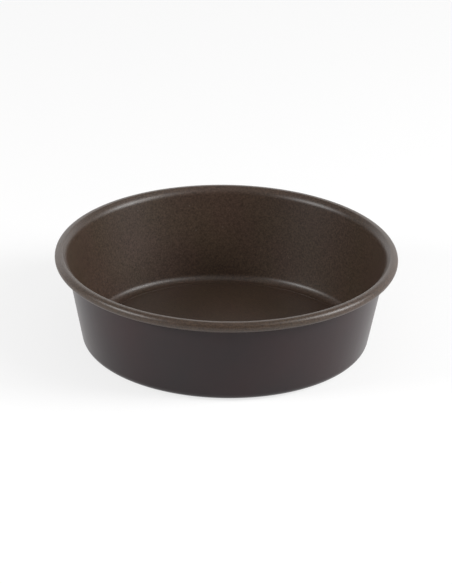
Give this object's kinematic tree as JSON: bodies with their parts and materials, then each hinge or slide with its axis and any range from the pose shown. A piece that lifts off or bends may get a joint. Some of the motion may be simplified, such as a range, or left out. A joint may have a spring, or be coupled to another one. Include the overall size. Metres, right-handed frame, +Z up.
{
  "type": "loose-based cake tin",
  "caption": "Deep round cake tin with a tapered coated-steel wall that opens into a wired rolled rim, and a flat loose base that lifts out through the top.",
  "frame": {"origin": "centre of the underside, on the surface that the tin stands on", "axes": "+Z up along the tin's axis; the tin is round, so X and Y are alike"},
  "size_m": [0.214, 0.214, 0.0605],
  "materials": {
    "coated_steel": "sheet steel with a fine-grained brown non-stick coating on the food side and over the rim, and a smoother satin dark brown coat outside",
    "wire_steel": "bare drawn steel wire, shut inside the curl of the rim",
    "base_steel": "sheet steel with the brown non-stick coating on top and the satin dark brown coat below"
  },
  "bodies": {
    "tin": {"tin_body": "coated_steel", "rim_wire": "wire_steel"},
    "base": {"loose_base": "base_steel"}
  },
  "joints": [
    {"name": "base_lift", "type": "slide", "parent": "tin", "child": "base", "axis": [0, 0, 1], "range_m": [0, 0.09]}
  ]
}
